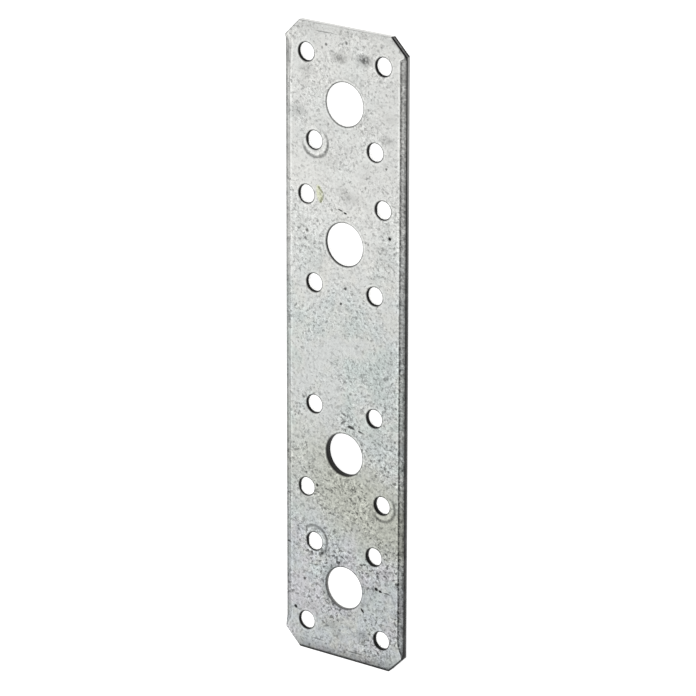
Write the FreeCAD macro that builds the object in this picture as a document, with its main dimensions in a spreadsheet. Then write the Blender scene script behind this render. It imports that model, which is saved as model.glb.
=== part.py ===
import FreeCAD, Part
import os
import Sketcher

# Mending plate: one flat piece of galvanised sheet.
# X runs across the plate, Y along it, Z through it. The origin is the middle of the back face,
# and the front face, the one with the rolled long edges, looks up along +Z.

os.makedirs("parts", exist_ok=True)

doc = FreeCAD.newDocument("mending_plate")

# Sizes in mm, apart from the shares
SIZES = [
    ("plate_length", 180.0),
    ("plate_width", 40.0),
    ("plate_thickness", 2.0),
    ("corner_cut", 4.8),
    ("large_hole_diameter", 12.0),
    ("small_hole_diameter", 5.0),
    # from a short end to the first row of small holes
    ("end_margin", 8.5),
    # from a long edge to the wide pairs of small holes
    ("side_margin", 7.25),
    # how much further in the narrow pairs lie
    ("column_step", 2.65),
    # the other rows, as shares of the way from the middle of the plate to its first row
    ("large_far_share", 0.847),
    ("small_two_share", 0.706),
    ("small_three_share", 0.515),
    ("large_near_share", 0.368),
    ("small_four_share", 0.2135),
    # the pressed-down strip along each long edge
    ("edge_roll_width", 1.75),
    ("edge_roll_depth", 0.4),
    ("edge_roll_run_out", 3.5),
    ("edge_roll_end_share", 0.05),
    # edges that the punches and the shear leave
    ("rim_radius", 0.15),
    ("end_edge_radius", 0.2),
    # how far a cutting shape reaches past the plate
    ("tool_clearance", 1.0),
]

# Places worked out from the sizes
PLACES = [
    ("half_length", "plate_length / 2"),
    ("half_width", "plate_width / 2"),
    ("first_row", "half_length - end_margin"),
    ("wide_column", "half_width - side_margin"),
    ("narrow_column", "wide_column - column_step"),
    ("full_roll_place", "half_length - corner_cut - edge_roll_run_out"),
]
sheet = doc.addObject("Spreadsheet::Sheet", "sizes")
for row, (name, value) in enumerate(SIZES, start=1):
    sheet.set("A%d" % row, name)
    sheet.set("B%d" % row, str(value))
    sheet.setAlias("B%d" % row, name)
for row, (name, formula) in enumerate(PLACES, start=len(SIZES) + 1):
    sheet.set("A%d" % row, name)
    sheet.set("B%d" % row, "=" + formula)
    sheet.setAlias("B%d" % row, name)
doc.recompute()

body = doc.addObject("PartDesign::Body", "plate")


def size(name):
    """Present value of a named size or place."""
    return float(getattr(sheet, name))


def plane(role):
    """The body's own base plane with this role."""
    for feature in body.Origin.OriginFeatures:
        if feature.Role == role:
            return feature
    raise RuntimeError("no plane " + role)


def new_sketch(name, role):
    sketch = body.newObject("Sketcher::SketchObject", name)
    sketch.AttachmentSupport = [(plane(role), "")]
    sketch.MapMode = "FlatFace"
    return sketch


def bind(sketch, kind, args, name, expression, value):
    """Add a driving size to a sketch and tie it to the table of sizes."""
    index = sketch.addConstraint(Sketcher.Constraint(kind, *args, value))
    sketch.renameConstraint(index, name)
    sketch.setExpression("Constraints." + name, expression)
    return index


def polygon(sketch, points):
    """Closed loop of straight lines through the points."""
    lines = []
    for a, b in zip(points, points[1:] + points[:1]):
        start = FreeCAD.Vector(a[0], a[1], 0)
        end = FreeCAD.Vector(b[0], b[1], 0)
        lines.append(sketch.addGeometry(Part.LineSegment(start, end), False))
    for k, line in enumerate(lines):
        sketch.addConstraint(Sketcher.Constraint("Coincident", line, 2, lines[(k + 1) % len(lines)], 1))
    return lines


def whole(feature, what):
    """Stop if a feature failed or left no sound solid."""
    if not feature.isValid() or feature.Shape.isNull() or not feature.Shape.isValid():
        raise RuntimeError("%s failed: %s" % (what, feature.State))


# Outline of the blank: a rectangle with its four corners cut off at 45 degrees.
# The loop starts at the lower end of the right long edge and runs anticlockwise.
outline = new_sketch("outline", "XY_Plane")
w = size("half_width")
l = size("half_length")
c = size("corner_cut")
corner_points = [
    (w, -l + c), (w, l - c), (w - c, l), (-w + c, l),
    (-w, l - c), (-w, -l + c), (-w + c, -l), (w - c, -l),
]
edges = polygon(outline, corner_points)
right_side, cut_one, top_end, cut_two, left_side, cut_three, low_end, cut_four = edges
for line in (right_side, left_side):
    outline.addConstraint(Sketcher.Constraint("Vertical", line))
for line in (top_end, low_end):
    outline.addConstraint(Sketcher.Constraint("Horizontal", line))
bind(outline, "DistanceX", (-1, 1, right_side, 1), "right_edge", "sizes.half_width", w)
bind(outline, "DistanceX", (left_side, 1, -1, 1), "left_edge", "sizes.half_width", w)
bind(outline, "DistanceY", (-1, 1, top_end, 1), "top_edge", "sizes.half_length", l)
bind(outline, "DistanceY", (low_end, 1, -1, 1), "low_edge", "sizes.half_length", l)
for number, line in enumerate((cut_one, cut_two, cut_three, cut_four), start=1):
    # each cut takes the same length off both edges that it joins
    across = (line, 2, line, 1) if number in (1, 2) else (line, 1, line, 2)
    along = (line, 1, line, 2) if number in (1, 4) else (line, 2, line, 1)
    bind(outline, "DistanceX", across, "cut_%d_across" % number, "sizes.corner_cut", c)
    bind(outline, "DistanceY", along, "cut_%d_along" % number, "sizes.corner_cut", c)

blank = body.newObject("PartDesign::Pad", "blank")
blank.Profile = outline
blank.setExpression("Length", "sizes.plate_thickness")
outline.Visibility = False
doc.recompute()
whole(blank, "blank")

# Rolled long edge: the front corner of each long edge is pressed down to a shallow slope.
# Four cross-sections along the edge give the slope its full width in the middle and let it
# run out towards the cut corners. Sections are drawn in X and Z, the plane's own normal is -Y.
RUN = [
    ("roll_far_end", "-sizes.half_length", "edge_roll_end_share"),
    ("roll_far_full", "-sizes.full_roll_place", None),
    ("roll_near_full", "sizes.full_roll_place", None),
    ("roll_near_end", "sizes.half_length", "edge_roll_end_share"),
]
t = size("plate_thickness")
past = size("tool_clearance")
sections = []
for name, place, share in RUN:
    section = new_sketch(name, "XZ_Plane")
    section.setExpression("AttachmentOffset.Base.z", place + " * 1 mm")
    times = " * sizes." + share if share else ""
    part = size(share) if share else 1.0
    width = size("edge_roll_width") * part
    depth = size("edge_roll_depth") * part
    loop = [(w - width, t), (w, t - depth), (w + past, t - depth), (w + past, t + past), (w - width, t + past)]
    slope, under, outside, above, inside = polygon(section, loop)
    section.addConstraint(Sketcher.Constraint("Horizontal", under))
    section.addConstraint(Sketcher.Constraint("Vertical", outside))
    section.addConstraint(Sketcher.Constraint("Horizontal", above))
    section.addConstraint(Sketcher.Constraint("Vertical", inside))
    bind(section, "DistanceX", (-1, 1, slope, 2), "side_face", "sizes.half_width", w)
    bind(section, "DistanceX", (slope, 1, slope, 2), "roll_width", "sizes.edge_roll_width" + times, width)
    bind(section, "DistanceY", (-1, 1, slope, 1), "front_face", "sizes.plate_thickness", t)
    bind(section, "DistanceY", (slope, 2, slope, 1), "roll_depth", "sizes.edge_roll_depth" + times, depth)
    bind(section, "DistanceX", (under, 1, under, 2), "past_side", "sizes.tool_clearance", past)
    bind(section, "DistanceY", (inside, 2, inside, 1), "past_front", "sizes.tool_clearance", past)
    section.Visibility = False
    sections.append(section)
doc.recompute()

edge_roll = body.newObject("PartDesign::SubtractiveLoft", "edge_roll")
edge_roll.Profile = sections[0]
edge_roll.Sections = sections[1:]
edge_roll.Ruled = True
doc.recompute()
whole(edge_roll, "edge roll")
if edge_roll.Shape.Volume >= blank.Shape.Volume:
    raise RuntimeError("the edge roll took nothing off")

edge_roll_left = body.newObject("PartDesign::Mirrored", "edge_roll_left")
edge_roll_left.Originals = [edge_roll]
edge_roll_left.MirrorPlane = (plane("YZ_Plane"), [""])
body.Tip = edge_roll_left
doc.recompute()
whole(edge_roll_left, "left edge roll")


def punch(sketch, name):
    """Cut a sketch right through the plate, to both sides of the sketch's plane."""
    before = body.Tip.Shape.Volume
    pocket = body.newObject("PartDesign::Pocket", name)
    pocket.Profile = sketch
    pocket.Type = "ThroughAll"
    pocket.Midplane = True
    sketch.Visibility = False
    doc.recompute()
    whole(pocket, name)
    if pocket.Shape.Volume >= before:
        raise RuntimeError(name + " took nothing off")
    return pocket


def round_hole(sketch, x, y, diameter):
    """A circle at its starting place, to be tied to the table of sizes."""
    centre = FreeCAD.Vector(x, y, 0)
    return sketch.addGeometry(Part.Circle(centre, FreeCAD.Vector(0, 0, 1), diameter / 2), False)


# Large holes on the centre line: two in the upper half, mirrored to the lower half.
large = new_sketch("large_holes", "XY_Plane")
wide_hole = size("large_hole_diameter")
for row in ("far", "near"):
    y = size("first_row") * size("large_%s_share" % row)
    circle = round_hole(large, 0, y, wide_hole)
    large.addConstraint(Sketcher.Constraint("PointOnObject", circle, 3, -2))
    place = "sizes.first_row * sizes.large_%s_share" % row
    bind(large, "DistanceY", (-1, 1, circle, 3), "row_" + row, place, y)
    bind(large, "Diameter", (circle,), "hole_" + row, "sizes.large_hole_diameter", wide_hole)
large_upper = punch(large, "large_holes_upper")

large_lower = body.newObject("PartDesign::Mirrored", "large_holes_lower")
large_lower.Originals = [large_upper]
large_lower.MirrorPlane = (plane("XZ_Plane"), [""])
body.Tip = large_lower
doc.recompute()
whole(large_lower, "lower large holes")

# Small holes: four in the upper right quarter, wide and narrow pairs in turn,
# mirrored to the left and then to the lower half.
small = new_sketch("small_holes", "XY_Plane")
fine_hole = size("small_hole_diameter")
ROWS = [("one", "wide", None), ("two", "narrow", "small_two_share"),
        ("three", "wide", "small_three_share"), ("four", "narrow", "small_four_share")]
for row, column, share in ROWS:
    x = size(column + "_column")
    y = size("first_row") * (size(share) if share else 1.0)
    circle = round_hole(small, x, y, fine_hole)
    place = "sizes.first_row" + (" * sizes." + share if share else "")
    bind(small, "DistanceX", (-1, 1, circle, 3), "column_" + row, "sizes.%s_column" % column, x)
    bind(small, "DistanceY", (-1, 1, circle, 3), "row_" + row, place, y)
    bind(small, "Diameter", (circle,), "hole_" + row, "sizes.small_hole_diameter", fine_hole)
small_quarter = punch(small, "small_holes_quarter")

pattern = body.newObject("PartDesign::MultiTransform", "small_holes_all")
pattern.Originals = [small_quarter]
to_left = doc.addObject("PartDesign::Mirrored", "small_holes_to_left")
body.addObject(to_left)
to_left.MirrorPlane = (plane("YZ_Plane"), [""])
to_lower = doc.addObject("PartDesign::Mirrored", "small_holes_to_lower")
body.addObject(to_lower)
to_lower.MirrorPlane = (plane("XZ_Plane"), [""])
pattern.Transformations = [to_left, to_lower]
body.Tip = pattern
doc.recompute()
whole(pattern, "small holes")


def edges_where(shape, test):
    """Names of the edges that pass a test."""
    return ["Edge%d" % k for k, edge in enumerate(shape.Edges, start=1) if test(edge)]


def is_front_rim(edge):
    """A full circle lying in the front face."""
    round_edge = isinstance(edge.Curve, Part.Circle) and edge.isClosed()
    return round_edge and abs(edge.BoundBox.ZMin - size("plate_thickness")) < 1e-6


# Drawn-in rims: the punch pulls the front edge of every hole slightly in.
rims = edges_where(pattern.Shape, is_front_rim)
if len(rims) != 20:
    raise RuntimeError("expected 20 hole rims, found %d" % len(rims))
hole_rims = body.newObject("PartDesign::Fillet", "hole_rims")
hole_rims.Base = (pattern, rims)
hole_rims.setExpression("Radius", "sizes.rim_radius")
doc.recompute()
whole(hole_rims, "hole rims")


def is_front_end(edge):
    """A straight front edge along a short end of the plate."""
    box = edge.BoundBox
    front = size("plate_thickness")
    at_end = abs(abs(box.YMin) - size("half_length")) < 1e-6 and abs(box.YMax - box.YMin) < 1e-6
    in_front = abs(box.ZMin - front) < 1e-6 and abs(box.ZMax - front) < 1e-6
    return at_end and in_front and isinstance(edge.Curve, (Part.Line, Part.LineSegment))


# Short ends: the shear leaves a slight radius on the front edge.
ends = edges_where(hole_rims.Shape, is_front_end)
if len(ends) != 2:
    raise RuntimeError("expected 2 front end edges, found %d" % len(ends))
end_edges = body.newObject("PartDesign::Fillet", "end_edges")
end_edges.Base = (hole_rims, ends)
end_edges.setExpression("Radius", "sizes.end_edge_radius")
body.Tip = end_edges
doc.recompute()
whole(end_edges, "end edges")

PLAIN = ("small_holes_to_left", "small_holes_to_lower")
for item in doc.Objects:
    if "Invalid" in item.State or "Error" in item.State or not item.isValid():
        raise RuntimeError("%s is not sound: %s" % (item.Name, item.State))
    if item.isDerivedFrom("PartDesign::Feature") and item.Name not in PLAIN:
        if item.Shape.isNull() or not item.Shape.isValid():
            raise RuntimeError(item.Name + " has no sound shape")

shape = body.Shape
if len(shape.Solids) != 1:
    raise RuntimeError("expected one solid, found %d" % len(shape.Solids))
box = shape.BoundBox
print("box", round(box.XLength, 4), round(box.YLength, 4), round(box.ZLength, 4))
print("volume", round(shape.Volume, 2), "faces", len(shape.Faces))

shape.exportStep("parts/mending_plate.step")
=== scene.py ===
"""The looks of the mending plate: galvanised steel with rolled long edges and twenty punched holes."""

import math
import random

import bpy
from mathutils import Matrix, Vector
from mathutils.geometry import delaunay_2d_cdt
from mathutils.kdtree import KDTree


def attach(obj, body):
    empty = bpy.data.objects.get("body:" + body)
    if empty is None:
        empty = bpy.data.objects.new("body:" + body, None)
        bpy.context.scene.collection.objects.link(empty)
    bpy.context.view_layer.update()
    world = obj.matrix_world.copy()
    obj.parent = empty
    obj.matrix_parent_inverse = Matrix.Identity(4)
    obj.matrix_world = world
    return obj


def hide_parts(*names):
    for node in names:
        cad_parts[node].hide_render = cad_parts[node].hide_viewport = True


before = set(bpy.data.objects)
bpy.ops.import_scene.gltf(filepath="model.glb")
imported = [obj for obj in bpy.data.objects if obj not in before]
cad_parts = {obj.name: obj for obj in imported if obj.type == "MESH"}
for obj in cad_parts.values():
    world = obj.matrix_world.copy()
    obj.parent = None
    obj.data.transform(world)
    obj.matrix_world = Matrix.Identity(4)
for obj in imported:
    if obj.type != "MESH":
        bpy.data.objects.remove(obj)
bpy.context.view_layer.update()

# Sizes of the plate, in millimetres
MM = 0.001
HALF_WIDTH = 20.0
HALF_LENGTH = 90.0
THICKNESS = 2.0
CORNER_CUT = 4.8
SMALL_RADIUS = 2.5
LARGE_RADIUS = 6.0
SMALL_PLACES = ((12.75, 81.5), (10.1, 57.539), (12.75, 41.9725), (10.1, 17.40025))
LARGE_PLACES = (69.0305, 29.992)

# The top face lies a little low, so that its waves stay inside the plate's thickness
FACE_HEIGHT = 1.985

# The rolled long edges: their width, where they run out towards the corner cuts, and what is left there
ROLL_WIDTH = 1.75
ROLL_END = 85.2
ROLL_FULL = 81.7
ROLL_FULL_TOP = 84.2
ROLL_LEAST = 0.2
ROLL_LEAST_DROP = 0.25

# How far the rolled edge has dropped, against the share of its width from the edge
ROLL_DROPS = (
    (0.0, 0.62), (0.03, 0.53), (0.07, 0.46), (0.12, 0.41), (0.2, 0.365),
    (0.86, 0.14), (0.94, 0.055), (1.0, 0.008), (1.03, 0.0),
)

# The sheared ends and corner cuts: width and depth of their soft edge
END_WIDTH = 0.9
CUT_WIDTH = 0.35
SHEAR_DROP = 0.17
SHEAR_START = 1.03
SHEAR_CURVE = 2.2

# Loops of the outline: the share of the edge's width that each lies in from the edge
LOOP_SHARES = (
    0.0, 0.03, 0.07, 0.12, 0.2, 0.32, 0.5, 0.68, 0.8, 0.86, 0.9, 0.94, 0.98, 1.03, 1.14, 1.35,
)

# Rings of the outline below the edge: how far in, and the height
EDGE_RINGS = (
    (0.0, 1.16), (0.0, 0.95), (0.03, 0.8), (0.05, 0.4),
    (0.05, 0.12), (0.09, 0.04), (0.16, 0.0), (1.0, 0.0),
)

# Rings of a hole: how far out from its radius, with the drop from the face or with the height
RIM_RINGS = (
    (1.5, 0.0), (0.95, 0.0), (0.6, 0.004), (0.4, 0.012), (0.27, 0.03),
    (0.17, 0.065), (0.09, 0.12), (0.04, 0.19), (0.01, 0.27), (0.0, 0.36),
)
WALL_RINGS = (
    (0.0, 1.15), (0.0, 0.98), (0.02, 0.9), (0.045, 0.8),
    (0.05, 0.45), (0.05, 0.14), (0.09, 0.05), (0.17, 0.0),
)
BACK_RINGS = ((0.6, 0.0), (1.5, 0.0))

# A tool's press marks round three of the small holes: centre, radius, and the arc that shows, in degrees
PRESSED = (
    ((-9.75, 57.1), 4.25, (-205.0, 75.0)),
    ((13.15, -42.4), 4.0, (-150.0, 50.0)),
    ((-10.0, -57.1), 4.2, (-60.0, 140.0)),
)
PRESS_DEPTH = 0.07
PRESS_DISH = 0.02
PRESS_SPREAD = 1.2
PRESS_FADE = 25.0

# Close rings of the mesh round a pressed hole, kept off the rolled edge
PRESS_RINGS = [5.0 - 0.115 * i for i in range(16)]
PRESS_LIMIT = 17.6
PRESS_CLEAR = 5.1

# Scattered points of the mesh: spacing, spread and least gap in spacings, and how clear they stay
SEED = 41
TOP_SPACING = 1.5
BACK_SPACING = 3.0
ROW_SHARE = 0.87
SCATTER = 0.12
LEAST_GAP = 0.55
SIDE_CLEAR = 2.9
END_CLEAR = 1.9
CUT_CLEAR = 1.5
HOLE_CLEAR = 1.5


def hole_list():
    """Every hole, as (x, y, radius, points round it)."""
    holes = []
    for x, y in SMALL_PLACES:
        holes += [(sx * x, sy * y, SMALL_RADIUS, 64) for sx in (-1, 1) for sy in (-1, 1)]
    for y in LARGE_PLACES:
        holes += [(0.0, sy * y, LARGE_RADIUS, 112) for sy in (-1, 1)]
    return holes


HOLES = hole_list()


def smooth(value, low, high):
    """0 below low, 1 above high, and a soft step between."""
    share = min(1.0, max(0.0, (value - low) / (high - low)))
    return share * share * (3.0 - 2.0 * share)


def hump(off, width):
    """A bell curve, 1 where off is nothing."""
    return math.exp(-((off / width) ** 2))


def roll_share(y):
    """How much of the long edge's roll is left at y: it runs out towards the corner cuts."""
    full = ROLL_FULL_TOP if y > 0.0 else ROLL_FULL
    run = (ROLL_END - abs(y)) / (ROLL_END - full)
    return max(ROLL_LEAST, min(1.0, run))


def drop_at(table, share):
    """Reads a drop from a table of (share, drop)."""
    for (a, low), (b, high) in zip(table, table[1:]):
        if share <= b:
            return low + (high - low) * (share - a) / (b - a)
    return table[-1][1]


def press_depth(x, y):
    """Depth of the tool's press marks at a place on the face."""
    depth = 0.0
    for (px, py), ring, (first, last) in PRESSED:
        away = math.hypot(x - px, y - py)
        if away > ring + PRESS_SPREAD:
            continue
        turn = math.degrees(math.atan2(y - py, x - px))
        middle, half = (first + last) / 2, (last - first) / 2
        off = abs((turn - middle + 180.0) % 360.0 - 180.0)
        shown = 1.0 - smooth(off, half - PRESS_FADE, half)
        groove = hump(away - ring, 0.25) - 0.4 * hump(away - ring - 0.5, 0.2)
        worn = 0.75 + 0.25 * math.sin(math.radians(turn) * 5.0 + px)
        dish = 1.0 - smooth(away, ring - 0.7, ring)
        depth = max(depth, shown * (PRESS_DEPTH * groove * worn + PRESS_DISH * dish))
    return depth


def face_height(x, y):
    """Height of the top face, with the slight waves of the sheet and the press marks."""
    waves = 0.006 * math.sin(x / 5.3 + 0.7) * math.cos(y / 8.9) + 0.004 * math.sin(x / 2.9 - y / 4.1)
    return FACE_HEIGHT + waves - press_depth(x, y)


def outline_corners(inset):
    """The eight corners of the outline, moved in from the edge by the inset."""
    x, y = HALF_WIDTH - inset, HALF_LENGTH - inset
    cut = CORNER_CUT - inset * (2.0 - math.sqrt(2.0))
    return [
        (x, -y + cut), (x, y - cut), (x - cut, y), (-x + cut, y),
        (-x, y - cut), (-x, -y + cut), (-x + cut, -y), (x - cut, -y),
    ]


# What each side of the outline is, from corner to corner
SIDE_KINDS = ("long", "cut", "end", "cut", "long", "cut", "end", "cut")


def side_shares(kind):
    """Where the points of one side lie, from 0 to 1, closer together near its ends."""
    if kind == "cut":
        return [i / 8 for i in range(8)]
    if kind == "end":
        return [0.0, 0.008, 0.02, 0.04] + [0.07 + 0.86 * i / 30 for i in range(31)] + [0.96, 0.98, 0.992]
    length = 2 * (HALF_LENGTH - CORNER_CUT)
    near = [0.0, 0.2, 0.45, 0.8, 1.15, 1.5, 1.85, 2.2, 2.55, 2.9, 3.2, 3.4, 3.6, 3.9, 4.6, 5.6]
    far = [length - a for a in reversed(near[1:])]
    middle = [near[-1] + (far[0] - near[-1]) * i / 100 for i in range(1, 100)]
    return [a / length for a in near + middle + far]


def side_width(kind, y, share):
    """Width over which the edge turns down, at a place on one side."""
    if kind == "long":
        return max(ROLL_WIDTH * roll_share(y), CUT_WIDTH)
    if kind == "cut":
        return CUT_WIDTH
    near_corner = min(share, 1.0 - share)
    return CUT_WIDTH + (END_WIDTH - CUT_WIDTH) * smooth(near_corner, 0.0, 0.05)


def outline_loop(step):
    """One loop of the outline, step widths in from the edge, as (x, y, drop)."""
    outer = outline_corners(0.0)
    points = []
    for i, kind in enumerate(SIDE_KINDS):
        first_y, last_y = outer[i][1], outer[(i + 1) % 8][1]
        for share in side_shares(kind):
            width = side_width(kind, first_y + (last_y - first_y) * share, share)
            (cx, cy), (dx, dy) = (outline_corners(width * step)[j] for j in (i, (i + 1) % 8))
            x, y = cx + (dx - cx) * share, cy + (dy - cy) * share
            if kind == "long":
                drop = drop_at(ROLL_DROPS, step) * max(roll_share(y), ROLL_LEAST_DROP)
            else:
                drop = SHEAR_DROP * max(0.0, 1.0 - step / SHEAR_START) ** SHEAR_CURVE
            points.append((x, y, drop))
    return points


class Shell:
    """Collects the vertices and faces of one closed mesh."""

    def __init__(self):
        self.points = []
        self.faces = []

    def add(self, points):
        """Adds points and gives back their numbers."""
        first = len(self.points)
        self.points += points
        return list(range(first, len(self.points)))

    def band(self, outer, inner):
        """A strip of quads between two loops of equal length."""
        count = len(outer)
        for i in range(count):
            j = (i + 1) % count
            self.faces.append((outer[i], outer[j], inner[j], inner[i]))

    def web(self, loops, fill, up):
        """Triangles between an outer loop and the rings of the holes, with fill points between."""
        ids = [i for loop in loops for i in loop]
        owner = [number for number, loop in enumerate(loops) for _ in loop]
        edges, first = [], 0
        for loop in loops:
            count = len(loop)
            edges += [(first + i, first + (i + 1) % count) for i in range(count)]
            first += count
        ids += self.add(fill)
        owner += [-1] * len(fill)
        flat = [Vector(self.points[i][:2]) for i in ids]
        _, _, triangles, origin, _, _ = delaunay_2d_cdt(flat, edges, [], 1, 1e-6)
        for triangle in triangles:
            a, b, c = (origin[i][0] for i in triangle)
            in_a_hole = owner[a] == owner[b] == owner[c] and owner[a] > 0
            if in_a_hole:
                continue
            corners = (ids[a], ids[b], ids[c])
            self.faces.append(corners if up else corners[::-1])


def add_outline(shell):
    """Adds the edge all round, from the top face to the back. Gives its first and last loop."""
    loops = []
    for step in reversed(LOOP_SHARES):
        loops.append(shell.add([(x, y, face_height(x, y) - drop) for x, y, drop in outline_loop(step)]))
    for inset, height in EDGE_RINGS:
        ring = []
        corners = outline_corners(inset)
        for i, kind in enumerate(SIDE_KINDS):
            (ax, ay), (bx, by) = corners[i], corners[(i + 1) % 8]
            ring += [(ax + (bx - ax) * s, ay + (by - ay) * s, height) for s in side_shares(kind)]
        loops.append(shell.add(ring))
    for upper, lower in zip(loops, loops[1:]):
        shell.band(lower, upper)
    return loops[0], loops[-1]


def circle(centre_x, centre_y, radius, count):
    """Places round a circle, as (x, y)."""
    angles = [2 * math.pi * i / count for i in range(count)]
    return [(centre_x + radius * math.cos(a), centre_y + radius * math.sin(a)) for a in angles]


def add_hole(shell, centre_x, centre_y, radius, count):
    """Adds one hole, with its rim, its banded wall and its lower rim. Gives its first and last ring."""
    pressed = any(math.hypot(centre_x - px, centre_y - py) < 1.0 for (px, py), _, _ in PRESSED)
    rings = []
    for reach in PRESS_RINGS if pressed else ():
        if abs(centre_x) + reach > PRESS_LIMIT:
            continue
        ring = circle(centre_x, centre_y, reach, count)
        rings.append(shell.add([(x, y, face_height(x, y)) for x, y in ring]))
    for out, drop in RIM_RINGS[2 if pressed else 0:]:
        ring = circle(centre_x, centre_y, radius + out, count)
        rings.append(shell.add([(x, y, face_height(x, y) - drop) for x, y in ring]))
    for out, height in WALL_RINGS + BACK_RINGS:
        ring = circle(centre_x, centre_y, radius + out, count)
        rings.append(shell.add([(x, y, height) for x, y in ring]))
    for outer, inner in zip(rings, rings[1:]):
        shell.band(outer, inner)
    return rings[0], rings[-1]


def is_clear(x, y):
    """Whether a place lies clear of the edges, the holes and the press marks."""
    if abs(x) > HALF_WIDTH - SIDE_CLEAR or abs(y) > HALF_LENGTH - END_CLEAR:
        return False
    if abs(x) + abs(y) > HALF_WIDTH + HALF_LENGTH - CORNER_CUT - CUT_CLEAR:
        return False
    if any(math.hypot(x - hx, y - hy) < radius + HOLE_CLEAR for hx, hy, radius, _ in HOLES):
        return False
    return all(math.hypot(x - px, y - py) >= PRESS_CLEAR for (px, py), _, _ in PRESSED)


def fill_points(shell, loops, spacing, height, draw):
    """Scattered points of one face, between the loops and never close to one."""
    rim = [shell.points[i] for loop in loops for i in loop]
    tree = KDTree(len(rim))
    for number, (x, y, _) in enumerate(rim):
        tree.insert((x, y, 0.0), number)
    tree.balance()
    points = []
    rows = int(2 * HALF_LENGTH / (spacing * ROW_SHARE)) + 1
    columns = int(2 * HALF_WIDTH / spacing) + 2
    for row in range(rows):
        for column in range(columns):
            x = -HALF_WIDTH + (column + 0.5 * (row % 2)) * spacing
            x += draw.uniform(-SCATTER, SCATTER) * spacing
            y = -HALF_LENGTH + row * spacing * ROW_SHARE
            y += draw.uniform(-SCATTER, SCATTER) * spacing
            if is_clear(x, y) and tree.find((x, y, 0.0))[2] >= spacing * LEAST_GAP:
                points.append((x, y, height(x, y)))
    return points


def plate_mesh():
    """The whole plate: rolled edges, sheared walls, punched holes, press marks and the flat back."""
    shell = Shell()
    draw = random.Random(SEED)
    ends = [add_outline(shell)] + [add_hole(shell, *hole) for hole in HOLES]
    top_loops = [first for first, _ in ends]
    back_loops = [last for _, last in ends]
    shell.web(top_loops, fill_points(shell, top_loops, TOP_SPACING, face_height, draw), True)
    shell.web(back_loops, fill_points(shell, back_loops, BACK_SPACING, lambda x, y: 0.0, draw), False)

    mesh = bpy.data.meshes.new("galvanised_plate")
    mesh.from_pydata([(x * MM, y * MM, z * MM) for x, y, z in shell.points], [], shell.faces)
    mesh.validate()
    mesh.polygons.foreach_set("use_smooth", [True] * len(mesh.polygons))
    mesh.update()
    return mesh


# Finishes. Shader maths is written as expressions on numbers that a wrapped socket carries.
class Number:
    """A value socket that takes part in arithmetic by adding Math nodes."""

    def __init__(self, finish, socket):
        self.finish = finish
        self.socket = socket

    def math(self, operation, first, second=None):
        """The result of one Math node."""
        values = [first] if second is None else [first, second]
        return self.finish.number("ShaderNodeMath", {"operation": operation}, dict(enumerate(values)))

    def __add__(self, other):
        return self.math("ADD", self, other)

    def __radd__(self, other):
        return self.math("ADD", other, self)

    def __sub__(self, other):
        return self.math("SUBTRACT", self, other)

    def __rsub__(self, other):
        return self.math("SUBTRACT", other, self)

    def __mul__(self, other):
        return self.math("MULTIPLY", self, other)

    def __rmul__(self, other):
        return self.math("MULTIPLY", other, self)

    def __abs__(self):
        return self.math("ABSOLUTE", self)

    def least(self, other):
        """The lesser of two numbers."""
        return self.math("MINIMUM", self, other)

    def most(self, other):
        """The greater of two numbers."""
        return self.math("MAXIMUM", self, other)


class Finish:
    """A procedural material, built node by node."""

    def __init__(self, name):
        self.material = bpy.data.materials.new(name)
        self.material.use_nodes = True
        self.tree = self.material.node_tree
        self.tree.nodes.clear()

    def node(self, kind, settings=None, sockets=None):
        """Adds a node: its settings first, then the values and links of its sockets."""
        node = self.tree.nodes.new(kind)
        for name, value in (settings or {}).items():
            setattr(node, name, value)
        for name, value in (sockets or {}).items():
            if isinstance(value, Number):
                value = value.socket
            if isinstance(value, bpy.types.NodeSocket):
                self.tree.links.new(value, node.inputs[name])
            else:
                node.inputs[name].default_value = value
        return node

    def number(self, kind, settings=None, sockets=None):
        """The first output of a new node, as a number."""
        return Number(self, self.node(kind, settings, sockets).outputs[0])

    def rise(self, value, low, high, bottom=0.0, top=1.0):
        """A soft step of a value, from bottom at low to top at high."""
        places = {"Value": value, "From Min": low, "From Max": high, "To Min": bottom, "To Max": top}
        return self.number("ShaderNodeMapRange", {"interpolation_type": "SMOOTHSTEP"}, places)

    def fall(self, value, low, high):
        """A soft step of a value, from 1 at low to 0 at high."""
        return self.rise(value, low, high, 1.0, 0.0)

    def ridge(self, value, middle, inner, outer):
        """1 where a value is less than inner off the middle, and 0 where it is more than outer off."""
        return self.fall(abs(value - middle), inner, outer)

    def noise(self, place, scale, detail=2.0, roughness=0.5, distortion=0.0):
        """Soft noise from 0 to 1, its scale in features a millimetre."""
        sockets = {
            "Vector": place,
            "Scale": scale,
            "Detail": detail,
            "Roughness": roughness,
            "Distortion": distortion,
        }
        return self.number("ShaderNodeTexNoise", None, sockets)

    def mix(self, share, first, second, blend="MIX"):
        """A colour between two others."""
        settings = {"data_type": "RGBA", "blend_type": blend}
        return self.node("ShaderNodeMix", settings, {0: share, 6: first, 7: second}).outputs[2]

    def vector(self, operation, first, second=None, scale=None, output=0):
        """The result of one Vector Math node."""
        sockets = {0: first}
        if second is not None:
            sockets[1] = second
        if scale is not None:
            sockets["Scale"] = scale
        return self.node("ShaderNodeVectorMath", {"operation": operation}, sockets).outputs[output]

    def distance(self, place, x, y, z=0.0):
        """Distance of a place from a point."""
        return Number(self, self.vector("DISTANCE", place, (x, y, z), output="Value"))

    def principled(self, sockets):
        """The surface itself, and the material's output."""
        skin = self.node("ShaderNodeBsdfPrincipled", None, sockets)
        self.node("ShaderNodeOutputMaterial", None, {"Surface": skin.outputs[0]})


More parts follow.
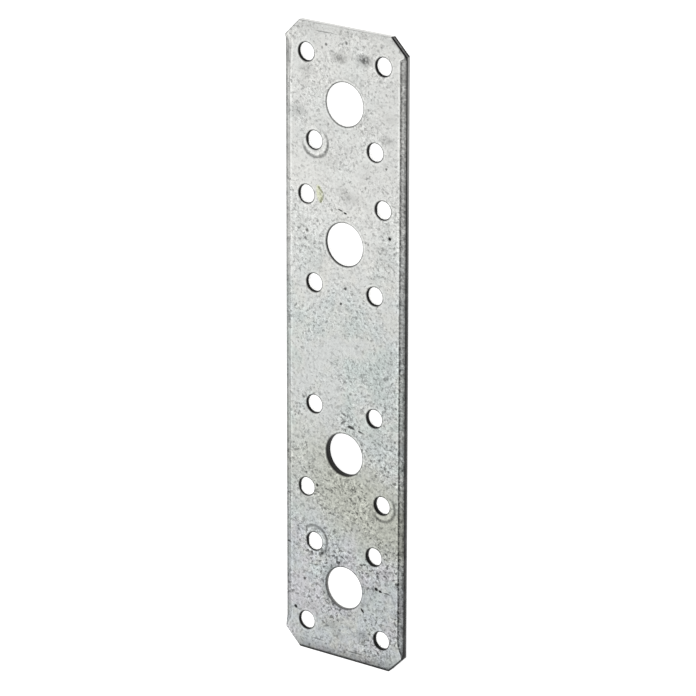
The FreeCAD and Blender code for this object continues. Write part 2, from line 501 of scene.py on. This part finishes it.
# Scratches and long marks: place, half length, half width, turn in degrees, and how dark each is
MARKS = (
    (-1.3, 39.5, 0.85, 0.24, -10, 0.65), (0.3, 38.9, 0.5, 0.26, -25, 0.85),
    (-0.2, -18.2, 0.8, 0.3, -20, 0.4), (2.3, -21.6, 1.1, 0.36, -15, 0.62),
    (-0.2, -20.6, 1.2, 0.3, 35, 0.45), (5.6, -22.3, 0.9, 0.2, -15, 0.55),
    (-16.5, -78.3, 0.6, 0.42, -30, 0.85), (11.0, -66.7, 0.55, 0.42, -20, 1.0),
    (12.4, -67.0, 0.6, 0.28, -15, 0.8), (14.6, -67.2, 1.3, 0.17, -5, 0.5),
    (6.3, -74.1, 0.75, 0.28, -50, 0.75), (-6.6, 87.9, 3.4, 0.14, 0, 0.4),
    (-8.9, -86.3, 2.2, 0.16, 0, 0.42), (3.7, -87.3, 3.3, 0.18, 0, 0.42),
    (8.0, -86.0, 2.2, 0.14, 0, 0.35),
)

# Round dots: place, radius, and how dark each is
DOTS = (
    (-12.5, 31.8, 0.58, 0.5), (-13.0, 29.5, 0.5, 0.5), (-9.1, 35.0, 0.45, 0.4), (15.0, 34.5, 0.5, 0.8),
    (7.9, 31.5, 0.48, 0.4), (0.3, 17.6, 0.5, 0.6), (-1.1, 13.1, 0.45, 0.6), (-9.2, -40.8, 0.54, 0.6),
    (17.1, -22.7, 0.42, 0.45), (-4.4, 58.6, 0.42, 0.25), (13.7, 74.0, 0.42, 0.35), (13.8, 53.6, 0.45, 0.5),
    (17.3, -40.3, 0.4, 0.3), (-5.5, 47.5, 0.42, 0.3), (9.0, 4.5, 0.45, 0.3), (-6.1, 84.6, 0.45, 0.5),
    (-7.4, 83.6, 0.4, 0.4), (0.6, 86.0, 0.47, 0.45), (-13.5, -69.3, 0.47, 0.55), (11.0, 85.6, 0.6, 0.3),
)

# The yellowish stain beside one hole, and its dark outline as strokes of the same form as the marks
STAIN_PLACE = (-8.3, 42.8)
STAIN_TURN = 10.0
STAIN_SIZE = (1.0, 2.5)
STAIN_LINES = (
    (-7.7, 43.7, 1.15, 0.3, -44, 0.85), (-7.35, 41.7, 1.35, 0.26, 62, 0.8),
    (-7.9, 40.8, 0.55, 0.3, 60, 1.0), (-8.5, 44.5, 0.38, 0.32, 0, 1.0),
)

# Broad dull smudges, each wider across the plate than along it: place, half length, and how dark each is
SMUDGES = (
    (6.6, 82.2, 1.6, 0.5), (-1.7, 81.6, 1.7, 0.36), (-15.6, 64.9, 2.1, 0.17), (15.2, 67.5, 1.6, 0.12),
    (6.3, -81.2, 1.5, 0.30), (-4.2, -80.6, 1.8, 0.20), (-6.8, -60.2, 1.5, 0.20), (-1.5, -83.5, 1.4, 0.14),
    (13.5, -61.5, 1.5, 0.14), (-12.8, 76.8, 1.7, 0.18), (2.0, 43.2, 2.2, 0.14), (14.5, 61.5, 1.6, 0.20),
    (-4.5, 52.5, 1.9, 0.08),
)
SMUDGE_SHAPE = 0.58

# How far below the plate's middle the worn band and the olive zone lie
WORN_BELOW = 60.8
OLIVE_BELOW = 41.0

# Colours of the zinc and of the stain
ZINC = (0.634, 0.652, 0.640, 1.0)
ZINC_BEIGE = (0.652, 0.656, 0.622, 1.0)
ZINC_UPPER = (0.652, 0.654, 0.634, 1.0)
ZINC_COOL = (0.600, 0.655, 0.648, 1.0)
ZINC_BLUE = (0.590, 0.622, 0.648, 1.0)
ZINC_VIOLET = (0.650, 0.638, 0.668, 1.0)
ZINC_TEAL = (0.585, 0.655, 0.635, 1.0)
ZINC_OLIVE = (0.600, 0.614, 0.545, 1.0)
STAIN_YELLOW = (0.66, 0.68, 0.49, 1.0)
STAIN_DARK = (0.20, 0.21, 0.12, 1.0)


def grey(level, blue=None):
    """A grey colour, with its own share of blue where one is given."""
    return (level, level, level if blue is None else blue, 1.0)


class ZincFinish(Finish):
    """Hot-dip zinc: a pale mottled grey with fine dark grain, tints and worn places, painted shade and
    highlights at the edges and holes, and dark sheared edges, partly painted shade.
    """

    def __init__(self):
        super().__init__("galvanised_sheet")
        self.measure()
        self.mottle()
        self.specks()
        self.pits()
        self.zones()
        self.rolled_edges()
        self.marks()
        self.press_marks()
        self.hole_lips()
        self.tints()
        self.stain()
        self.walls()
        self.surface()

    def darken(self, share):
        """Takes a share off the tone of the face."""
        self.tone = self.tone * (1.0 - share)

    def lighten(self, share):
        """Adds a share to the tone of the face."""
        self.tone = self.tone * (1.0 + share)

    def scale(self, factor):
        """Multiplies the tone of the face."""
        self.tone = self.tone * factor

    def blend(self, share, colour):
        """Lays a share of another colour over the colour so far."""
        self.colour = self.mix(share, self.colour, colour)

    def wandering(self, scale):
        """The place, moved about by soft noise."""
        return self.vector("ADD", self.place, self.vector("SCALE", self.wander, scale=scale))

    def spot_reach(self, place, centre, turn, size):
        """Distance from the centre of a spot on the top face, 1 at the rim of its ellipse."""
        sockets = {
            "Vector": place,
            "Location": (*centre, THICKNESS),
            "Rotation": (0.0, 0.0, math.radians(turn)),
            "Scale": (*size, 2 * THICKNESS),
        }
        spot = self.node("ShaderNodeMapping", {"vector_type": "TEXTURE"}, sockets).outputs[0]
        return Number(self, self.vector("LENGTH", spot, output="Value"))

    def long_spots(self, table, place):
        """How dark a place is from a table of long spots."""
        spots = []
        for x, y, half_length, half_width, turn, dark in table:
            reach = self.spot_reach(place, (x, y), turn, (1.15 * half_length, 1.25 * half_width))
            spots.append(self.rise(reach, 0.55, 1.25, dark, 0.0))
        return self.darkest(spots)

    def round_spots(self, table, place, shape, inner, outer):
        """How dark a place is from a table of round spots, on a face squeezed to a shape."""
        spots = []
        for x, y, radius, dark in table:
            away = self.distance(place, shape * x, y, THICKNESS)
            spots.append(self.rise(away, inner * radius, outer * radius, dark, 0.0))
        return self.darkest(spots)

    @staticmethod
    def darkest(spots):
        """The most of many numbers."""
        share = spots[0]
        for spot in spots[1:]:
            share = share.most(spot)
        return share

    def measure(self):
        """Where a point lies, how far it is from the outline and the holes, and which wall it is on."""
        from_object = self.node("ShaderNodeTexCoord")
        self.place = self.vector("SCALE", from_object.outputs["Object"], scale=1.0 / MM)
        normal = self.node("ShaderNodeSeparateXYZ", None, {0: from_object.outputs["Normal"]})
        self.normal_y = Number(self, normal.outputs[1])
        parts = self.node("ShaderNodeSeparateXYZ", None, {0: self.place})
        self.x, self.y, self.z = (Number(self, output) for output in parts.outputs)

        wide = abs(self.x)
        self.far = abs(self.y)
        self.side_gap = HALF_WIDTH - wide
        self.end_gap = HALF_LENGTH - self.far
        self.cut_gap = (HALF_WIDTH + HALF_LENGTH - CORNER_CUT - (wide + self.far)) * math.sqrt(0.5)
        folded = self.node("ShaderNodeCombineXYZ", None, {0: wide, 1: self.far}).outputs[0]
        self.small_gap = self.distance(folded, *SMALL_PLACES[0]) - SMALL_RADIUS
        for centre in SMALL_PLACES[1:]:
            self.small_gap = self.small_gap.least(self.distance(folded, *centre) - SMALL_RADIUS)
        self.large_gap = self.distance(folded, 0.0, LARGE_PLACES[0]) - LARGE_RADIUS
        self.large_gap = self.large_gap.least(self.distance(folded, 0.0, LARGE_PLACES[1]) - LARGE_RADIUS)
        self.hole_gap = self.small_gap.least(self.large_gap)

        small_wall = self.fall(self.small_gap, 0.12, 0.27)
        self.hole_wall = small_wall.most(self.fall(self.large_gap, 0.05, 0.16))
        self.long_wall = self.fall(self.side_gap, 0.06, 0.16)
        self.cut_wall = self.fall(self.cut_gap, 0.05, 0.13)
        self.end_wall = self.fall(self.end_gap, 0.05, 0.13)

    def mottle(self):
        """Mottle and grain of the zinc, with its dark worms and threads and its dulled clusters."""
        place, y = self.place, self.y
        coloured = self.node("ShaderNodeTexNoise", None, {"Vector": place, "Scale": 0.9, "Detail": 2.0})
        centred = self.vector("SUBTRACT", coloured.outputs["Color"], (0.5, 0.5, 0.5))
        self.wander = self.vector("SCALE", centred, scale=1.1)
        self.loose = self.vector("ADD", place, self.wander)
        loose = self.loose
        cloud = self.noise(place, 0.055, 3.0, 0.55)
        self.patch = self.noise(loose, 0.32, 3.0, 0.6)
        self.blot = self.noise(loose, 1.1, 3.0, 0.65)
        self.grain = self.noise(place, 1.7, 4.0, 0.75)

        # Smooth stretches lie between busy ones, and the lower part is busier
        busy = self.rise(self.noise(place, 0.09, 2.0, 0.55), 0.40, 0.60)
        amount = 0.58 + 0.78 * busy
        amount = amount * self.rise(y, -50.0, 0.0, 1.95, 1.25) * self.rise(y, 15.0, 50.0, 1.0, 0.85)
        self.tone = 0.965 + 0.12 * cloud + amount * (
            0.34 * (self.patch - 0.5) + 0.6 * (self.blot - 0.5) + 0.95 * (self.grain - 0.5)
        )

        # Worms lie above one level of a noise, and threads, strokes and gleams run along one
        worm = self.rise(self.noise(loose, 1.05, 1.0, 0.5), 0.555, 0.66)
        self.darken(0.24 * worm * amount)
        thread = self.ridge(self.noise(loose, 0.8, 2.0, 0.5), 0.5, 0.004, 0.03)
        self.darken(0.24 * thread * (0.3 + 0.7 * busy) * self.rise(self.patch, 0.42, 0.58))
        stroke = self.ridge(self.noise(place, 1.0, 1.0, 0.5, 0.6), 0.5, 0.006, 0.045)
        broken = self.noise(place, 0.7, 1.0, 0.5)
        self.darken(0.15 * stroke * amount * self.rise(broken, 0.5, 0.6))
        gleam = self.ridge(self.noise(place, 0.9, 1.0, 0.5, 0.8), 0.53, 0.006, 0.05)
        self.lighten(0.08 * gleam * amount * self.fall(broken, 0.4, 0.5))
        cluster = self.rise(self.noise(place, 0.11, 2.0, 0.6), 0.53, 0.68)
        self.darken(0.17 * cluster * self.rise(self.blot, 0.44, 0.56))

    def specks(self):
        """Dark specks, thicker in a worn band low on the plate and thinner towards the top."""
        x, y = self.x, self.y
        off = abs(y + WORN_BELOW + 0.06 * x + 3.0 * (self.patch - 0.5)) - 0.05 * x
        self.band = self.fall(off, 0.6, 4.2)
        thick = self.rise(y, -85.0, 60.0, 0.03, 0.0) + 0.045 * self.band
        self.speck = self.rise(self.noise(self.loose, 1.2, 2.0, 0.55) + thick, 0.62, 0.72)
        self.fleck = self.rise(self.noise(self.loose, 0.75, 1.0, 0.5) + 0.8 * thick, 0.66, 0.72)
        self.darken((0.32 + 0.1 * self.band) * self.speck)
        self.darken((0.2 + 0.1 * self.band) * self.fleck)

    def pits(self):
        """Single pits with a pale rim, many of them in the worn band."""
        sockets = {"Vector": self.wandering(1.3), "Scale": (0.8, 1.25, 0.0)}
        squeezed = self.node("ShaderNodeMapping", None, sockets).outputs[0]
        cells = self.node("ShaderNodeTexVoronoi", None, {"Vector": squeezed, "Scale": 0.62})
        lot = self.node("ShaderNodeSeparateXYZ", None, {0: cells.outputs["Color"]}).outputs[0]
        from_pit = Number(self, cells.outputs["Distance"])
        chance = Number(self, lot) + 0.6 * self.band + self.rise(self.y, -70.0, 60.0, 0.04, -0.06)
        there = self.rise(chance, 0.84, 0.92)
        pit = self.fall(from_pit, 0.17, 0.42) * there
        halo = self.ridge(from_pit, 0.5, 0.03, 0.14) * there
        self.darken((0.3 + 0.45 * self.band) * pit)
        self.lighten((0.07 + 0.06 * self.band) * halo)

    def zones(self):
        """Broad changes of tone: darker towards the lower end, with painted shade and painted highlight
        along the ends.
        """
        x, y = self.x, self.y
        self.lighten(0.05 * self.band)
        self.scale(self.rise(abs(y - 31.0), 4.0, 16.0, 1.04, 1.0))
        self.scale(self.rise(y, -88.0, 20.0, 0.87, 1.015))
        self.scale(self.rise(y, 10.0, 50.0, 1.0, 1.085))
        self.scale(self.rise(x, -8.0, 18.0, 1.01, 0.98))

        # Painted shade darkens the lower end and lays a thin dark line along its rounded edge, a little
        # painted shade and then a pale painted highlight run along the upper end's edge, and the face by
        # one corner cut is darker
        self.scale(self.rise(y, -89.6, -85.8, 0.58, 1.0))
        self.scale(self.rise(y, 86.5, 89.0, 1.0, 0.93))
        self.scale(self.rise(y, -89.6, -89.0, 0.2, 1.0))
        self.scale(self.rise(y, 89.2, 89.7, 1.0, 1.38))
        low_right = self.rise(x, 10.0, 12.0) * self.fall(y, -80.0, -78.0)
        self.darken(0.75 * low_right * self.fall(self.cut_gap, 0.15, 0.5))

    def rolled_edges(self):
        """The rolled edges: painted shade on their tilted strips, a painted highlight line inside each,
        painted shade along the right crease and outer edge, a painted highlight along the left crease, and
        rubbed wear.
        """
        y, side_gap = self.y, self.side_gap
        self.right = self.rise(self.x, -1.0, 1.0)
        right = self.right
        least_run = ROLL_WIDTH * ROLL_LEAST
        run = self.rise(y, -ROLL_END, 0.5 - ROLL_FULL, least_run, ROLL_WIDTH)
        run = run.least(self.rise(y, ROLL_FULL_TOP - 0.3, ROLL_END, ROLL_WIDTH, least_run))
        run = run + 0.5 * (1.0 - right) * self.rise(y, 72.0, 83.0)
        strip = self.fall(side_gap - run, -0.12, 0.08)
        crease = self.fall(abs(side_gap - run + 0.5 - 0.3 * right), 0.1, 0.42)
        rubbed = self.rise(self.blot + 0.6 * (self.grain - 0.5), 0.42, 0.62)
        # Where a painted highlight line runs just inside each strip
        painted_highlight = self.ridge(side_gap - run, 0.36, 0.1, 0.5)
        stretched = self.vector("MULTIPLY", self.place, (0.2, 1.0, 0.0))
        self.lengthwise = self.noise(stretched, 0.22, 4.0, 0.7)
        self.lighten(0.9 * (self.lengthwise - 0.5) * strip)
        # Painted shade on both tilted strips, more on the left one
        self.scale(1.0 - 0.19 * strip - 0.11 * strip * (1.0 - right))
        self.lighten(strip * right * (0.40 * rubbed - 0.20))
        # A painted highlight line inside each strip, painted shade along the right crease, and a painted
        # highlight along the left crease
        self.lighten(0.16 * painted_highlight)
        self.darken(self.rise(y, -60.0, 10.0, 0.62, 0.46) * crease * right * (1.2 - 0.5 * rubbed))
        self.lighten(0.5 * crease * (1.0 - right))
        # Painted shade along the outer edge of the right strip
        outer_line = self.fall(side_gap + 0.25 * (self.grain - 0.5), 0.35, 0.75)
        self.darken(0.28 * outer_line * right)

    def marks(self):
        """Small marks, dots and broad smudges, each with a wandering edge."""
        self.near = self.wandering(0.5)
        spots = self.long_spots(MARKS, self.near).most(self.round_spots(DOTS, self.near, 1.0, 0.55, 1.25))
        squeezed = self.vector("MULTIPLY", self.wandering(2.0), (SMUDGE_SHAPE, 1.0, 1.0))
        smudges = self.round_spots(SMUDGES, squeezed, SMUDGE_SHAPE, 0.2, 1.3)
        uneven = self.rise(self.blot + 0.5 * (self.grain - 0.5), 0.40, 0.56, 0.35, 1.6)
        self.darken(self.rise(spots, 0.0, 0.75, 0.0, 0.95))
        self.darken(smudges * uneven)

    def press_marks(self):
        """The tool's press marks: the groove darkened as painted shade, and a painted highlight on its
        inner side.
        """
        for (press_x, press_y), ring, (first, last) in PRESSED:
            away = self.distance(self.place, press_x, press_y, THICKNESS)
            middle = math.radians((first + last) / 2)
            ahead = (self.x - press_x) * math.cos(middle) + (self.y - press_y) * math.sin(middle)
            shown = self.rise(ahead, -2.5, 1.5)
            away = away + 0.7 * (self.blot - 0.5)
            groove = self.ridge(away, ring, 0.1, 0.7)
            inside = self.fall(abs(away - ring + 0.85), 0.1, 0.5)
            # Painted shade in the groove, and a painted highlight on its inner side
            self.darken(0.62 * groove * shown * self.rise(self.blot, 0.3, 0.6, 0.6))
            self.lighten(0.13 * inside * shown)

    def hole_lips(self):
        """A pale painted highlight round the holes, a thin line of painted shade at each rim, a darker ring
        round the large ones, and painted shade round the lower large one, most on its left.
        """
        lip = self.ridge(self.hole_gap, 0.7, 0.08, 0.34)
        rim = self.fall(self.hole_gap, 0.2, 0.5)
        dull = self.ridge(self.large_gap, 1.15, 0.1, 0.5)
        shaded = self.fall(self.large_gap, 0.3, 2.4) * self.fall(self.y, -55.0, -45.0)
        shaded = shaded * self.rise(self.x, -2.0, 4.0, 1.0, 0.3)
        # Painted shade round the lower large hole, a painted highlight round each hole, painted shade at
        # each rim, and a darker ring round the large ones
        self.darken(0.26 * shaded)
        self.lighten(0.10 * lip)
        self.darken(0.55 * rim)
        self.darken(0.14 * dull * self.rise(self.patch, 0.35, 0.6))

    def tints(self):
        """Colour of the zinc: grey with beige, cool, blue, violet and teal tints, and an olive zone."""
        x, y, patch = self.x, self.y, self.patch
        warmth = self.noise(self.place, 0.13, 2.0, 0.6)
        cool = self.noise(self.place, 0.10, 2.0, 0.55)
        self.colour = self.mix(self.rise(warmth, 0.42, 0.62), ZINC, ZINC_BEIGE)
        self.blend(self.rise(y, 5.0, 35.0, 0.0, 0.8), ZINC_UPPER)
        self.blend(self.rise(cool, 0.44, 0.66) * self.rise(y, 10.0, 40.0, 0.6, 0.15), ZINC_COOL)
        self.blend(self.rise(y, -62.0, -30.0, 0.75, 0.0) * self.rise(patch, 0.4, 0.6), ZINC_BLUE)
        self.blend(self.fall(cool, 0.36, 0.50) * self.fall(y, -62.0, -48.0) * 0.7, ZINC_VIOLET)
        teal = self.rise(warmth, 0.50, 0.66) * self.rise(abs(y + 35.0), 30.0, 55.0, 0.55, 0.0)
        self.blend(teal, ZINC_TEAL)
        off = abs(y + OLIVE_BELOW + 0.4 * x + 14.0 * (patch - 0.5) + 12.0 * (warmth - 0.5))
        olive = self.rise(off, 4.0, 17.0, 0.95, 0.0) * self.rise(x, -20.0, 0.0, 0.35, 1.0)
        self.blend(olive, ZINC_OLIVE)
        self.darken(0.09 * olive)

    def stain(self):
        """The yellowish stain with its dark outline, and then the tone over all colours of the face."""
        reach = self.spot_reach(self.wandering(1.2), STAIN_PLACE, STAIN_TURN, STAIN_SIZE)
        stained = self.fall(reach, 0.8, 1.15)
        self.blend(stained * self.rise(self.blot, 0.35, 0.6, 0.95, 0.6), STAIN_YELLOW)
        self.blend(self.long_spots(STAIN_LINES, self.near) * 0.8, STAIN_DARK)
        tone = self.tone
        shade = self.node("ShaderNodeCombineColor", None, {0: tone, 1: tone, 2: tone}).outputs[0]
        self.colour = self.mix(1.0, self.colour, shade, "MULTIPLY")

    def walls(self):
        """Sheared and punched walls: raw steel darkened by painted shade, pale in places as painted light,
        with a paler stripe on the corner cuts and scores across the sheet.
        """
        x, y, z = self.x, self.y, self.z
        squeezed = self.node("ShaderNodeMapping", None, {"Vector": self.place, "Scale": (3.2, 3.2, 0.25)})
        scores = self.noise(squeezed.outputs[0], 1.0, 3.0, 0.6)
        self.scores = scores

        # Long edges: painted shade makes their walls near black above and dark grey below, and the right
        # wall is painted paler below towards the top end; the corner cuts are painted black as shade, with
        # a paler stripe
        upper_steel_shade = self.mix(self.rise(scores, 0.3, 0.7), grey(0.018), grey(0.050, 0.049))
        lower_steel_shade = self.mix(self.rise(scores, 0.3, 0.7), grey(0.09, 0.088), grey(0.20, 0.196))
        pale = self.rise(y, 0.0, 60.0, 0.0, 0.5) * self.right
        lower_steel_shade = self.mix(pale, lower_steel_shade, grey(0.50, 0.49))
        rubbed = self.rise(self.lengthwise, 0.48, 0.66, 0.0, 0.6)
        upper_steel_shade = self.mix(rubbed, upper_steel_shade, grey(0.10, 0.098))
        wall_line = self.rise(y, 20.0, 70.0, 0.3, 0.75)
        above_line = self.rise(z - wall_line + 0.3 * (scores - 0.5), 0.0, 0.5)
        steel = self.mix(above_line, lower_steel_shade, upper_steel_shade)
        streak = self.ridge(z, 0.95, 0.15, 0.42) * self.rise(scores, 0.3, 0.6, 0.35, 1.0)
        cut_wall_shade = self.mix(streak, grey(0.012), grey(0.20, 0.196))

        # Holes: painted shade makes the walls black above, and painted light makes them below as pale as
        # the lit table, higher on some sides and places, where the photo shows them so; the lower large
        # hole's walls are painted grey
        bore_shade_and_light = self.mix(self.rise(scores, 0.35, 0.7), grey(0.003), grey(0.015, 0.014))
        low_half = self.rise(x, -4.0, 4.0) * self.fall(y, -40.0, 15.0)
        paler = self.ridge(self.far, 50.0, 20.0, 27.0) * (1.0 - low_half)
        bore_shade_and_light = self.mix(paler, bore_shade_and_light, grey(0.02, 0.019))
        in_large = self.fall(self.large_gap, 0.3, 1.0)
        small_reach = 1.15 - 0.38 * low_half
        small_reach = small_reach + paler * self.rise(self.normal_y, 0.1, 0.7, -0.08, 0.4)
        large_reach = 1.75 * self.rise(y, -10.0, 10.0) + 0.35 * self.rise(y, 45.0, 55.0) - 0.3
        large_reach = large_reach + self.rise(y, -55.0, -45.0, 1.45, 0.0)
        reach = small_reach * (1.0 - in_large) + large_reach * in_large
        # Where the bore is painted pale below, as painted light like the lit table
        self.bore_painted_light = self.fall(z - reach + 0.3 * (scores - 0.5), -0.12, 0.12)
        grey_bore = in_large * self.rise(y, -55.0, -45.0, 0.9, 0.0)
        bore_shade_and_light = self.mix(grey_bore, bore_shade_and_light, self.mix(scores, grey(0.12, 0.118), grey(0.30, 0.295)))
        bore_shade_and_light = self.mix(self.bore_painted_light, bore_shade_and_light, grey(0.97, 0.96))

        # The upper end's wall is painted light, as pale as a lit face; the lower end's is like the long
        # edges
        self.blend(self.long_wall, steel)
        end_wall_shade_and_light = self.mix(self.rise(z, 0.1, 0.3), grey(0.45, 0.44), grey(0.69, 0.675))
        end_wall_shade_and_light = self.mix(self.rise(y, -1.0, 1.0), steel, end_wall_shade_and_light)
        self.blend(self.end_wall, end_wall_shade_and_light)
        self.blend(self.cut_wall, cut_wall_shade)
        self.blend(self.hole_wall, bore_shade_and_light)

    def surface(self):
        """The relief too fine for the mesh, the roughness, and the surface itself."""
        grain, blot, patch, speck = self.grain, self.blot, self.patch, self.speck
        walls = self.hole_wall.most(self.long_wall).most(self.cut_wall).most(self.end_wall)
        relief = 0.45 * grain + 0.8 * blot + 0.5 * patch - 0.5 * speck - 0.4 * self.fleck
        relief = relief * (1.0 - walls) + 0.8 * self.scores * walls
        bump = self.node("ShaderNodeBump", None, {"Strength": 0.35, "Distance": 0.00006, "Height": relief})
        rough = 0.36 + 0.22 * (grain - 0.5) + 0.2 * (patch - 0.5) + 0.12 * speck + 0.18 * walls
        self.principled({
            "Base Color": self.colour,
            "Metallic": 0.75 * (1.0 - self.hole_wall * (1.0 - self.bore_painted_light)),
            "Specular IOR Level": 0.1,
            "Roughness": rough,
            "Normal": bump.outputs[0],
        })


# The plate in place of the plain CAD solid, which carries the same finish
zinc = ZincFinish().material
plate = bpy.data.objects.new("zinc_plate", plate_mesh())
bpy.context.scene.collection.objects.link(plate)
plate.data.materials.append(zinc)
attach(plate, "root")
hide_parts("mending_plate")
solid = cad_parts["mending_plate"]
solid.data.materials.clear()
solid.data.materials.append(zinc)

# Floor: a pale lit acrylic table, so that the plate lies on white. Its half size and height are in metres.
TABLE_HALF = 30.0
TABLE_HEIGHT = -0.0001
TABLE_GLOW = 0.72


def table_finish():
    """Matt white acrylic, lit from below."""
    finish = Finish("acrylic_table")
    finish.principled({
        "Base Color": grey(0.9),
        "Roughness": 0.9,
        "Specular IOR Level": 0.0,
        "Emission Color": grey(1.0),
        "Emission Strength": TABLE_GLOW,
    })
    return finish.material


table_mesh = bpy.data.meshes.new("table_top")
signs = ((-1, -1), (1, -1), (1, 1), (-1, 1))
table_corners = [(sx * TABLE_HALF, sy * TABLE_HALF, TABLE_HEIGHT) for sx, sy in signs]
table_mesh.from_pydata(table_corners, [], [(0, 1, 2, 3)])
table_mesh.materials.append(table_finish())
table = bpy.data.objects.new("table_top", table_mesh)
bpy.context.scene.collection.objects.link(table)

# Light: an even studio, and a large soft box that the face mirrors towards the camera
STUDIO_STRENGTH = 0.6
KEY_PLACE = (-0.76, -0.40, 1.02)
KEY_SIZE = 0.85
KEY_WATTS = 1.75

world = bpy.data.worlds.new("studio")
bpy.context.scene.world = world
world.use_nodes = True
background = world.node_tree.nodes["Background"]
background.inputs["Color"].default_value = grey(1.0)
background.inputs["Strength"].default_value = STUDIO_STRENGTH

light = bpy.data.lights.new("key_box", "AREA")
light.size = KEY_SIZE
light.energy = KEY_WATTS
lamp = bpy.data.objects.new("key_box", light)
lamp.location = KEY_PLACE
lamp.rotation_euler = Vector(KEY_PLACE).to_track_quat("Z", "Y").to_euler()
bpy.context.scene.collection.objects.link(lamp)

# Camera: where the photograph was taken from, with its three directions, and its lens in millimetres
CAMERA_PLACE = (0.72038556, 0.41657907, 0.96786129)
CAMERA_RIGHT = (0.80178856, 0.00157232, -0.59760575)
CAMERA_UP = (-0.19613253, 0.9452987, -0.26065763)
CAMERA_BACK = (0.5645061, 0.32620223, 0.75823807)
LENS = 244.28
SENSOR = 36.0

camera_data = bpy.data.cameras.new("photo_camera")
camera_data.lens = LENS
camera_data.sensor_width = SENSOR
camera_data.clip_start = 0.05
camera_data.clip_end = 100.0
camera = bpy.data.objects.new("photo_camera", camera_data)
turn = Matrix((CAMERA_RIGHT, CAMERA_UP, CAMERA_BACK)).transposed().to_4x4()
camera.matrix_world = Matrix.Translation(CAMERA_PLACE) @ turn
bpy.context.scene.collection.objects.link(camera)
bpy.context.scene.camera = camera
bpy.context.scene.view_settings.view_transform = "Standard"
